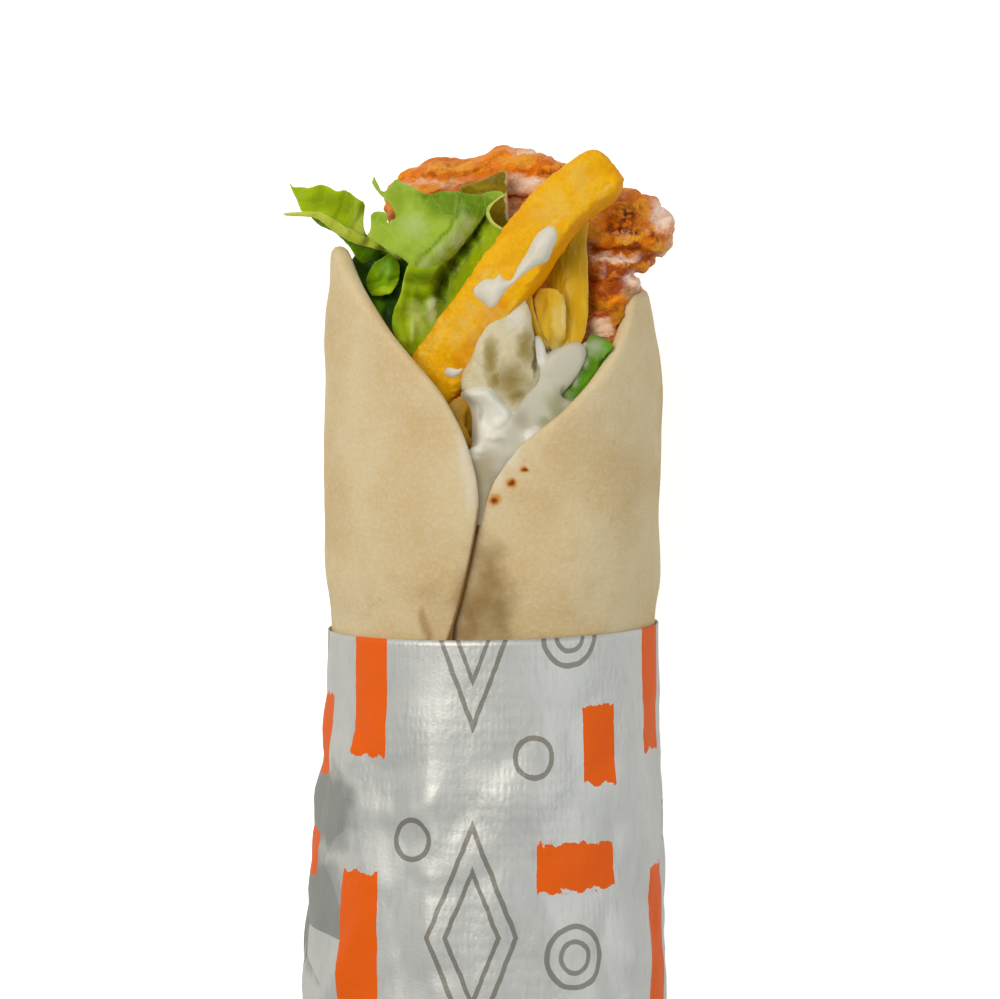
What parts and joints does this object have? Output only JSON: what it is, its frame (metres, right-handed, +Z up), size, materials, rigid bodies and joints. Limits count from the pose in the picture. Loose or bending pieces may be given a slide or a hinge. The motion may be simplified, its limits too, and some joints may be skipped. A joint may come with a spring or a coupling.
{
  "type": "chicken shawarma wrap",
  "caption": "Flatbread rolled round chicken, lettuce, a thick-cut fry, pickles, pickled pepper and garlic sauce, in a foil-faced paper sleeve; it lies on its back, seam side up.",
  "frame": {"origin": "under the middle of the bounding box, on the surface that the wrap lies on", "axes": "+Y along the roll towards its open end, +Z up out of the side with the seam, +X to the right seen from above with the open end away"},
  "size_m": [0.0638, 0.178, 0.054],
  "materials": {
    "flatbread": "soft pale bread with faint tan mottling and flour",
    "foil_paper": "satin foil-faced paper with fine embossing and a plain print",
    "fried_potato": "craggy fried crust with a drizzle of white sauce",
    "lettuce": "fresh leaf with pale ribs",
    "pickled_pepper": "wet translucent yellow-green flesh",
    "pickle": "wet olive-green pickled cucumber",
    "chicken": "grilled, orange-brown with pale meat and dark char",
    "garlic_sauce": "smooth thick white sauce"
  },
  "bodies": {
    "root": {"flatbread": "flatbread", "sleeve": "foil_paper", "fry": "fried_potato", "lettuce_front": "lettuce", "lettuce_left": "lettuce", "lettuce_inner": "lettuce", "pickled_pepper": "pickled_pepper", "pickle_middle": "pickle", "pickle_right": "pickle", "pickle_left": "pickle", "pickle_back": "pickle", "chicken": "chicken", "garlic_sauce": "garlic_sauce"}
  },
  "joints": []
}
